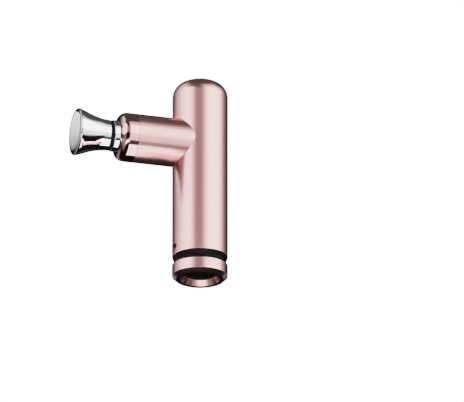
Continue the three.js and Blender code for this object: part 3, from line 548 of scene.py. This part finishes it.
def fit(piece, body, slot, material, *replaced):
    """Gives a finished piece its material, its body and the nodes that it stands for."""
    piece.data.materials.clear()
    piece.data.materials.append(material)
    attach(piece, body)
    if replaced:
        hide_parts(*replaced)


crown_drop = math.sqrt((dome_crown - dome_corner) ** 2 - (tube_radius - dome_corner) ** 2)
shoulder = tube_top - dome_crown + crown_drop
crown_joint = math.degrees(math.atan2(crown_drop, tube_radius - dome_corner))


def dome(inset, corner_steps, crown_steps):
    """The dome's profile from the shoulder almost to the axis, where a small cap closes it."""
    crown = dome_crown - inset
    apex = math.degrees(math.acos(apex_radius / crown))
    corner = arc(tube_radius - dome_corner, shoulder, dome_corner - inset, 0, crown_joint, corner_steps)
    return corner + arc(0, shoulder - crown_drop, crown, crown_joint, apex, crown_steps)[1:]


rows = int((shoulder - tube_foot) / row_gap)
straight_foot = tube_foot + foot_chamfer
tube = turned(
    "tube_shell",
    dome(tube_wall, corner_steps=10, crown_steps=8)[::-1]
    + [(tube_radius - tube_wall, tube_foot), (tube_radius - foot_chamfer, tube_foot)]
    + [(tube_radius, straight_foot + (shoulder - straight_foot) * row / rows) for row in range(rows)]
    + dome(0, corner_steps=20, crown_steps=20),
    tube_sides,
    filled=True,
)
stand_on_axis(tube)
hole_radius = barrel_radius + seam
hole = turned("hole", [(hole_radius, 0), (hole_radius, tube_radius + overrun)], tube_sides, filled=True)
lay_along_barrel(hole)
carve(tube, hole)
slot = stadium("slot", port_width + slot_margin, port_tall + slot_margin, 2 * tube_radius, tube_radius)
lay_along_barrel(slot, port_height)
carve(tube, slot)
ease_edges(tube, tube_edge, segments=2)
rose_anodised = look(
    "rose_anodised", grain, scale=700, dark=(0.855, 0.467, 0.467), light=(0.87, 0.479, 0.479),
    smooth=0.262, rough=0.278, relief=0.05 * um, metallic=1,
)
fit(tube, "housing", "rose_anodised", rose_anodised, "handle_tube")

# The slot's cut walls are painted black as painted shade, so that the opening into the tube looks dark.
tube.data.materials.append(satin_black)
for face in tube.data.polygons:
    reach = math.hypot(face.center.x, face.center.y - axis_y)
    in_wall = tube_radius - tube_wall + slot_shade_margin < reach < tube_radius - slot_shade_margin
    if in_wall and abs(face.center.z - port_height) < port_tall:
        face.material_index = 1

# Charge port
# A drawn steel shell with a moulded black tongue in it, and gold contacts on both of the tongue's faces. It
# stands on the control board and looks out through the tube's slot.
shell_wall = 0.35 * mm
shell_back = 0.7 * mm
shell_edge = 0.06 * mm
tongue_width, tongue_thickness = 6.6 * mm, 0.7 * mm
tongue_setback = 0.7 * mm
tongue_edge = 0.12 * mm
contact_width, contact_height, contact_pitch = 0.25 * mm, 0.05 * mm, 0.5 * mm
contact_setback = 0.5 * mm
contacts_per_face = 12
port_reach, port_back = axis_y - port_low.y, axis_y - port_high.y
port_depth = port_reach - port_back
port_middle = port_back + port_depth / 2
mouth_width, mouth_tall = port_width - 2 * shell_wall, port_tall - 2 * shell_wall

shell = stadium("port_shell", port_width, port_tall, port_depth, port_middle)
mouth = stadium("port_mouth", mouth_width, mouth_tall, port_depth, port_middle + shell_back)
carve(shell, mouth)
lay_along_barrel(shell, port_height)
ease_edges(shell, shell_edge, segments=2)
fit(shell, "housing", "ground_steel", ground_steel, "charge_port")


def bar(name, width, tall, start, end, height=0):
    """A straight bar along Z between two distances from the axis."""
    bpy.ops.object.select_all(action="DESELECT")
    bpy.ops.mesh.primitive_cube_add(size=1, location=(0, height, (start + end) / 2))
    made = bpy.context.object
    made.name = made.data.name = name
    bpy.ops.object.mode_set(mode="EDIT")
    bpy.ops.mesh.select_all(action="SELECT")
    bpy.ops.transform.resize(value=(width, tall, end - start))
    bpy.ops.object.mode_set(mode="OBJECT")
    bpy.ops.object.transform_apply(location=True)
    return made


def repeat(piece, count, offset):
    """Copies a piece along a line."""
    make_active(piece)
    bpy.ops.object.modifier_add(type="ARRAY")
    array = piece.modifiers[-1]
    array.count = count
    array.use_relative_offset = False
    array.use_constant_offset = True
    array.constant_offset_displace = offset
    bpy.ops.object.modifier_apply(modifier=array.name)


tongue_start, tongue_end = port_back + shell_back - weld, port_reach - tongue_setback
tongue = bar("port_tongue", tongue_width, tongue_thickness, tongue_start, tongue_end)
lay_along_barrel(tongue, port_height)
ease_edges(tongue, tongue_edge)
fit(tongue, "housing", "satin_black", satin_black)

contact_start, contact_end = tongue_start + overrun, tongue_end - contact_setback
contacts = bar(
    "port_contacts", contact_width, contact_height, contact_start, contact_end, -tongue_thickness / 2
)
ease_edges(contacts, contact_height / 4, segments=1)
repeat(contacts, contacts_per_face, (contact_pitch, 0, 0))
repeat(contacts, 2, (0, tongue_thickness, 0))
contacts.location.x = -contact_pitch * (contacts_per_face - 1) / 2
make_active(contacts)
bpy.ops.object.transform_apply(location=True)
lay_along_barrel(contacts, port_height)
gold = look(
    "contact_gold", grain, scale=6000, dark=(0.7, 0.45, 0.15), light=(0.95, 0.7, 0.3),
    smooth=0.15, rough=0.3, relief=1 * um, metallic=1,
)
fit(contacts, "housing", "ground_steel", gold)

# Barrel sleeve
# A length of drawn aluminium tube, anodised rose like the handle. Its inner end is cut to a saddle that seats
# in the handle's hole.
sleeve_wall = 1.2 * mm
sleeve_edge = 0.12 * mm
sleeve_reach = axis_y - barrel_low.y
handle_bore = tube_radius - tube_wall
sleeve_start = handle_bore / 3
barrel_sides = 160


def pipe(bore, outside, start, end):
    """The profile of a plain pipe, from its inner edge all the way round."""
    return [(bore, start), (outside, start), (outside, end), (bore, end), (bore, start)]


sleeve_profile = pipe(barrel_radius - sleeve_wall, barrel_radius, sleeve_start, sleeve_reach)
sleeve = turned("sleeve_tube", sleeve_profile, barrel_sides)
lay_along_barrel(sleeve)
saddle_ends = [(handle_bore, barrel_low.z - overrun), (handle_bore, barrel_high.z + overrun)]
saddle = turned("bore", saddle_ends, tube_sides, filled=True)
stand_on_axis(saddle)
carve(sleeve, saddle)
ease_edges(sleeve, sleeve_edge)
fit(sleeve, "housing", "rose_anodised", rose_anodised, "barrel_sleeve")

# Nose ring
# The barrel's front, turned from solid aluminium, polished and anodised rose, with a full round on its edge.
# A spigot holds it in the sleeve.
nose_length = 10.8 * mm
nose_fillet, nose_steps = 5.2 * mm, 18
nose_spigot = 2.2 * mm
nose_lip = 1.6 * mm
nose_edge = 0.12 * mm
seal_depth = 1.9 * mm
barrel_reach = axis_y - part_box("nose_ring")[0].y
nose_joint = barrel_reach - nose_length
nose_back = nose_joint - nose_spigot
nose_hole = barrel_radius - nose_fillet
seal_seat = nose_hole + seal_depth
spigot_radius = barrel_radius - sleeve_wall - seam

nose = turned(
    "nose_round",
    [
        (seal_seat, nose_back),
        (spigot_radius, nose_back),
        (spigot_radius, nose_joint + seam),
        (barrel_radius, nose_joint + seam),
    ]
    + arc(nose_hole, barrel_reach - nose_fillet, nose_fillet, 0, 90, nose_steps)
    + [
        (nose_hole, barrel_reach - nose_lip),
        (seal_seat, barrel_reach - nose_lip),
        (seal_seat, nose_back),
    ],
    barrel_sides,
)
lay_along_barrel(nose)
ease_edges(nose, nose_edge)
on_barrel = ((0, -barrel_height, 0), (-math.pi / 2, 0, 0))
rose_polished = look(
    "rose_polished", turning, scale=3000, dark=(0.84, 0.46, 0.46), light=(0.88, 0.5, 0.5),
    smooth=0.05, rough=0.09, relief=0.05 * um, metallic=1, about=on_barrel,
)
fit(nose, "housing", "rose_polished", rose_polished, "nose_ring")

# Nose seal
# A moulded rubber wiper pressed into the nose ring, which keeps dust off the piston.
seal_low, seal_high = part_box("nose_seal")
seal_reach, seal_back = axis_y - seal_low.y, axis_y - seal_high.y
collar_low, collar_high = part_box("piston_collar")
collar_radius = (collar_high.x - collar_low.x) / 2
seal_gap = 0.1 * mm
seal_bore = collar_radius + seal_gap
seal_foot, seal_face = seal_seat - seam, nose_hole - seam
seal_step = barrel_reach - nose_lip - seam
seal_edge = 0.1 * mm

seal = turned(
    "seal_lip",
    [
        (seal_bore, seal_back),
        (seal_foot, seal_back),
        (seal_foot, seal_step),
        (seal_face, seal_step),
        (seal_face, seal_reach),
        (seal_bore, seal_reach),
        (seal_bore, seal_back),
    ],
    barrel_sides,
)
lay_along_barrel(seal)
ease_edges(seal, seal_edge, segments=2)
fit(seal, "housing", "black_rubber", black_rubber, "nose_seal")

# Piston collar
# The front of the piston, a light alloy sleeve turned, polished and chromed, which slides in and out through
# the seal.
collar_reach, collar_back = axis_y - collar_low.y, axis_y - collar_high.y
collar_wall = 2.7 * mm
collar_round = 0.5 * mm

collar_profile = pipe(collar_radius - collar_wall, collar_radius, collar_back, collar_reach)
collar = turned("collar_sleeve", collar_profile, barrel_sides)
lay_along_barrel(collar)
ease_edges(collar, collar_round, segments=5)
chrome = look(
    "chrome", turning, scale=2500, dark=(0.86, 0.86, 0.87), light=(0.92, 0.92, 0.93),
    smooth=0.015, rough=0.05, relief=0.05 * um, metallic=1, about=on_barrel,
)
fit(collar, "plunger", "chrome_plate", chrome, "piston_collar")

# Neck ring
# A black rubber ring between the head and the collar, so that metal never knocks on metal.
ring_low, ring_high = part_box("neck_ring")
ring_reach, ring_back = axis_y - ring_low.y, axis_y - ring_high.y
ring_radius = (ring_high.x - ring_low.x) / 2
ring_bore = 6.2 * mm
ring_round = 0.35 * mm

ring = turned("neck_cushion", pipe(ring_bore, ring_radius, ring_back, ring_reach), barrel_sides)
lay_along_barrel(ring)
ease_edges(ring, ring_round, segments=4)
fit(ring, "head", "black_rubber", black_rubber, "neck_ring")

# Massage head
# A trumpet turned from light alloy, polished and chromed, that flares from its neck to a nearly flat striking
# face. Its acetal spigot pushes into the piston, where a rubber ring in a groove holds it.
head_reach, head_back = axis_y - head_low.y, axis_y - head_high.y
neck_step = 0.2 * mm
head_neck = ring_radius + neck_step
head_edge = 0.15 * mm
neck_straight = 8.8 * mm
flare_length, flare_drop, flare_steps = 4.9 * mm, 1.2 * mm, 40
rim_round, rim_turn, rim_steps = 0.9 * mm, 82, 10
face_flat, face_drop, crown_steps, crown_power = 9 * mm, 0.5 * mm, 16, 3
stud_hole, stud_depth = 7.5 * mm, 15.3 * mm
face_radius = (head_high.x - head_low.x) / 2
rim_height = head_reach - face_drop - rim_round * math.sin(math.radians(rim_turn))
face_edge = face_radius - rim_round + rim_round * math.cos(math.radians(rim_turn))


def crown():
    """The face, flat in the middle and falling away a little towards its rim."""
    points = []
    for step in range(1, crown_steps + 1):
        share = 1 - step / crown_steps
        radius = face_flat + (face_edge - face_flat) * share
        points.append((radius, head_reach - face_drop * share**crown_power))
    return points


def flare():
    """A curve from the neck to the rim of the face, drawn towards a point ahead of each end."""
    start, end = Vector((head_neck, head_back)), Vector((face_radius, rim_height))
    lead_out = start + Vector((0, neck_straight))
    lead_in = end - Vector((flare_drop, flare_length))
    points = []
    for step in range(flare_steps + 1):
        gone = step / flare_steps
        left = 1 - gone
        point = left**3 * start + 3 * left**2 * gone * lead_out + 3 * left * gone**2 * lead_in + gone**3 * end
        points.append((point.x, point.y))
    return points


head = turned(
    "trumpet_head",
    [(stud_hole, head_back + stud_depth), (stud_hole, head_back)]
    + flare()
    + arc(face_radius - rim_round, rim_height, rim_round, 0, rim_turn, rim_steps)[1:]
    + crown(),
    barrel_sides,
    filled=True,
)
lay_along_barrel(head)
ease_edges(head, head_edge)
fit(head, "head", "chrome_plate", chrome, "massage_head")
dress(acetal, "head_spigot")
dress(black_rubber, "grip_ring")

# Trim ring
# A waisted ring of moulded black plastic between the tube and its end cap, with a satin turned finish.
trim_low, trim_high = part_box("trim_ring")
cap_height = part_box("end_cap")[1].z
waist_inset = 1.15 * mm
waist_height = 1.6 * mm
trim_bore = 15.25 * mm
trim_edge = 0.2 * mm
trim_round = 0.15 * mm

trim = turned(
    "waist_ring",
    [
        (trim_bore, trim_low.z),
        (tube_radius - waist_inset, trim_low.z),
        (tube_radius - waist_inset, cap_height + waist_height),
        (tube_radius - trim_edge, trim_high.z - trim_edge),
        (tube_radius - trim_edge, trim_high.z),
        (trim_bore, trim_high.z),
        (trim_bore, trim_low.z),
    ],
    tube_sides,
)
stand_on_axis(trim)
ease_edges(trim, trim_round, angle=25)
trim_black = look(
    "trim_black", turning, scale=2500, dark=(0.002, 0.002, 0.002), light=(0.005, 0.005, 0.005),
    smooth=0.16, rough=0.26, relief=0.1 * um, specular=0.06, about=on_handle,
)
fit(trim, "housing", "gloss_black", trim_black, "trim_ring")

# End cap
# Turned from aluminium, anodised rose and pressed onto the base plug. A dish in its underside leads to the
# button, and its flat lip is the foot.
cap_chamfer_height = 1.2 * mm
cap_bevel, cap_bevel_height = 2.5 * mm, 2.3 * mm
cap_round = 0.15 * mm
dish_mouth, dish_throat, dish_depth = 12.6 * mm, 10.7 * mm, 3.7 * mm
shelf_depth = 7.2 * mm
cap_bore = 14.5 * mm

cap = turned(
    "cap_dish",
    [
        (dish_mouth, 0),
        (tube_radius - cap_bevel, 0),
        (tube_radius, cap_bevel_height),
        (tube_radius, cap_height - cap_chamfer_height),
        (tube_radius - waist_inset, cap_height),
        (cap_bore, cap_height),
        (cap_bore, shelf_depth),
        (dish_throat, shelf_depth),
        (dish_throat, dish_depth),
        (dish_mouth, 0),
    ],
    tube_sides,
)
stand_on_axis(cap)
ease_edges(cap, cap_round, angle=25)
rose_turned = look(
    "rose_turned", turning, scale=1500, dark=(0.83, 0.455, 0.455), light=(0.88, 0.5, 0.5),
    smooth=0.2, rough=0.26, relief=0.15 * um, metallic=1, about=on_handle,
)
fit(cap, "housing", "rose_anodised", rose_turned, "end_cap")

# Button bezel
# A moulded glossy black cup seated behind the dish, with a raised rim and a flat floor round the button. The
# base plug clamps its flange.
bezel_lip = 3.9 * mm
bezel_radius = 10.6 * mm
bezel_rim, bezel_rim_steps = 0.9 * mm, 10
bezel_floor, bezel_floor_wall = 6.3 * mm, 1.3 * mm
bezel_draft = 0.5 * mm
bezel_edge = 0.15 * mm
bezel_sides = 96
flange_radius, flange_low, flange_high = 14.2 * mm, 7.3 * mm, 8.6 * mm
bezel_inner_step = 8.3 * mm
button_radius = 3.5 * mm
button_gap = 0.3 * mm
rim_middle = bezel_lip + bezel_rim / 2
bezel_back = bezel_floor + bezel_floor_wall

bezel = turned(
    "button_cup",
    arc(bezel_radius - bezel_rim / 2, rim_middle, bezel_rim / 2, 180, 360, bezel_rim_steps)
    + [
        (bezel_radius, flange_low),
        (flange_radius, flange_low),
        (flange_radius, flange_high),
        (bezel_inner_step, flange_high),
        (bezel_inner_step, bezel_back),
        (button_radius + button_gap, bezel_back),
        (button_radius + button_gap, bezel_floor),
        (bezel_radius - bezel_rim - bezel_draft, bezel_floor),
        (bezel_radius - bezel_rim, rim_middle),
    ],
    bezel_sides,
)
stand_on_axis(bezel)
ease_edges(bezel, bezel_edge)
gloss_black = look(
    "gloss_black", grain, scale=1200, dark=(0.004, 0.004, 0.004), light=(0.009, 0.009, 0.009),
    smooth=0.08, rough=0.13, relief=0.05 * um,
)
fit(bezel, "housing", "gloss_black", gloss_black, "button_bezel")

# Power button
# A small round cap moulded in satin black plastic, crowned towards the finger. The bezel holds back its
# flange, and the switch lies just behind it.
button_low, button_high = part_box("power_button")
button_top = button_high.z
button_crown, button_turn, turn_power = 0.23 * mm, 0.47 * mm, 8
button_rows, row_power = 18, 1.5
button_edge = 0.1 * mm
button_sides = 64
button_flange_width, button_flange_height = 1.5 * mm, 0.7 * mm
button_flange_edge = button_radius + button_flange_width
button_flange_foot = button_top - button_flange_height


def button_outline():
    """A shallow crown whose edge turns over more and more steeply."""
    points = []
    for row in range(button_rows):
        share = 1 - (row / button_rows) ** row_power
        rise = button_crown * share**2 + button_turn * share**turn_power
        points.append((button_radius * share, button_low.z + rise))
    return points


button = turned(
    "button_cap",
    [
        (button_flange_edge, button_top),
        (button_flange_edge, button_flange_foot),
        (button_radius, button_flange_foot),
    ]
    + button_outline(),
    button_sides,
    filled=True,
)
stand_on_axis(button)
ease_edges(button, button_edge, segments=2, angle=50)
fit(button, "button", "satin_black", satin_black, "power_button")
